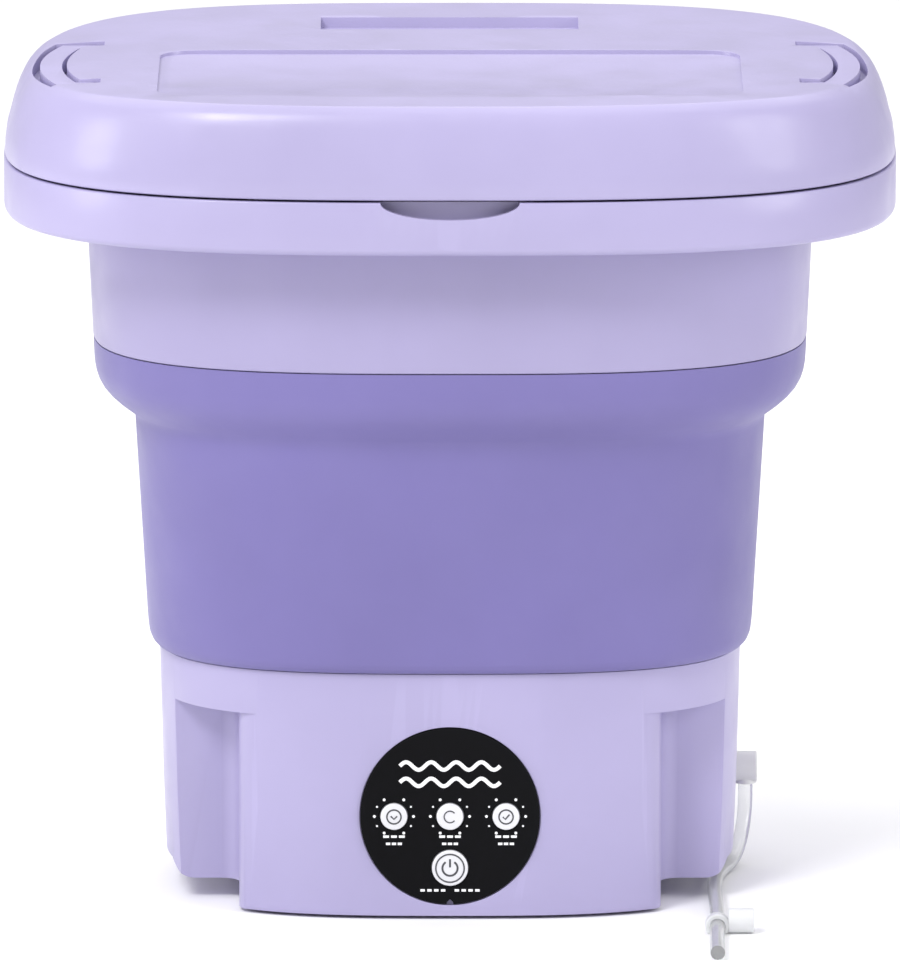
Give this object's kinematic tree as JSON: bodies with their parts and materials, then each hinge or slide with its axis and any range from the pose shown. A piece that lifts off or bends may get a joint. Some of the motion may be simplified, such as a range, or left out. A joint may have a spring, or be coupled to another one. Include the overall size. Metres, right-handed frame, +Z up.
{
  "type": "portable folding mini washer",
  "caption": "Small folding bucket washer with a soft collapsing sleeve, lift-off lid, round control panel, impeller drive and a side drain with a thin hose.",
  "frame": {"origin": "on the floor under the middle of the tub", "axes": "+X to the object's right seen from the front, with the drain outlet on that side; the front with the control panel faces -Y; +Z up"},
  "size_m": [0.366, 0.3221, 0.3433],
  "materials": {
    "lilac_plastic": "satin moulded",
    "handle_plastic": "satin moulded",
    "cover_plastic": "matte moulded",
    "pan_plastic": "smooth moulded",
    "pulsator_plastic": "smooth moulded",
    "liner_plastic": "matte moulded",
    "sleeve_tpe": "soft matte elastomer",
    "grey_rubber": "matte",
    "steel": "plain machined",
    "black_plastic": "gloss",
    "button_plastic": "satin",
    "circuit_board": "satin coated",
    "wire_jacket": "satin",
    "grey_plastic": "satin moulded",
    "hose_vinyl": "smooth translucent"
  },
  "bodies": {
    "base": {"base_housing": "lilac_plastic", "bottom_cover": "cover_plastic", "rubber_foot_1": "grey_rubber", "rubber_foot_2": "grey_rubber", "rubber_foot_3": "grey_rubber", "rubber_foot_4": "grey_rubber", "cover_screw_1": "steel", "cover_screw_2": "steel", "cover_screw_3": "steel", "cover_screw_4": "steel", "tub_pan": "pan_plastic", "drive_motor": "steel", "motor_bracket": "steel", "motor_screw_left": "steel", "motor_screw_right": "steel", "shaft_bearing": "steel", "shaft_seal": "grey_rubber", "control_board": "circuit_board", "panel_disc": "black_plastic", "power_inlet": "black_plastic", "motor_lead": "wire_jacket", "power_lead": "wire_jacket", "drain_outlet": "grey_plastic", "drain_pipe": "grey_plastic", "drain_strainer": "grey_plastic", "drain_hose": "hose_vinyl", "hose_stopper": "hose_vinyl", "folding_sleeve": "sleeve_tpe"},
    "upper_tub": {"tub_band": "lilac_plastic", "tub_rim": "lilac_plastic"},
    "lid": {"lid_shell": "lilac_plastic", "lid_inner_cover": "liner_plastic", "lid_seal": "grey_rubber", "left_handle_pin_front": "steel", "left_handle_pin_rear": "steel", "right_handle_pin_front": "steel", "right_handle_pin_rear": "steel"},
    "left_grip": {"left_handle": "handle_plastic"},
    "right_grip": {"right_handle": "handle_plastic"},
    "impeller": {"pulsator": "pulsator_plastic", "drive_shaft": "steel", "pulsator_screw": "steel"},
    "button_left": {"mode_button_left": "button_plastic"},
    "button_centre": {"mode_button_centre": "button_plastic"},
    "button_right": {"mode_button_right": "button_plastic"},
    "button_power": {"power_button": "button_plastic"}
  },
  "joints": [
    {"name": "tub_fold", "type": "slide", "parent": "base", "child": "upper_tub", "axis": [0, 0, 1], "range_m": [-0.105, 0], "deforming": ["folding_sleeve"]},
    {"name": "lid_lift", "type": "slide", "parent": "upper_tub", "child": "lid", "axis": [0, 0, 1], "range_m": [0, 0.2]},
    {"name": "left_handle_fold", "type": "hinge", "parent": "lid", "child": "left_grip", "pos_m": [-0.146, -0.014, 0.3378], "axis": [0, 1, 0], "range_deg": [0, 90]},
    {"name": "right_handle_fold", "type": "hinge", "parent": "lid", "child": "right_grip", "pos_m": [0.146, -0.014, 0.3378], "axis": [0, -1, 0], "range_deg": [0, 90]},
    {"name": "pulsator_spin", "type": "hinge", "parent": "base", "child": "impeller", "pos_m": [0, 0, 0.06], "axis": [0, 0, 1], "continuous": true},
    {"name": "button_left_press", "type": "slide", "parent": "base", "child": "button_left", "axis": [0, 1, 0], "range_m": [0, 0.0008], "stiffness_N_per_m": 300},
    {"name": "button_centre_press", "type": "slide", "parent": "base", "child": "button_centre", "axis": [0, 1, 0], "range_m": [0, 0.0008], "stiffness_N_per_m": 300},
    {"name": "button_right_press", "type": "slide", "parent": "base", "child": "button_right", "axis": [0, 1, 0], "range_m": [0, 0.0008], "stiffness_N_per_m": 300},
    {"name": "button_power_press", "type": "slide", "parent": "base", "child": "button_power", "axis": [0, 1, 0], "range_m": [0, 0.0008], "stiffness_N_per_m": 300}
  ]
}
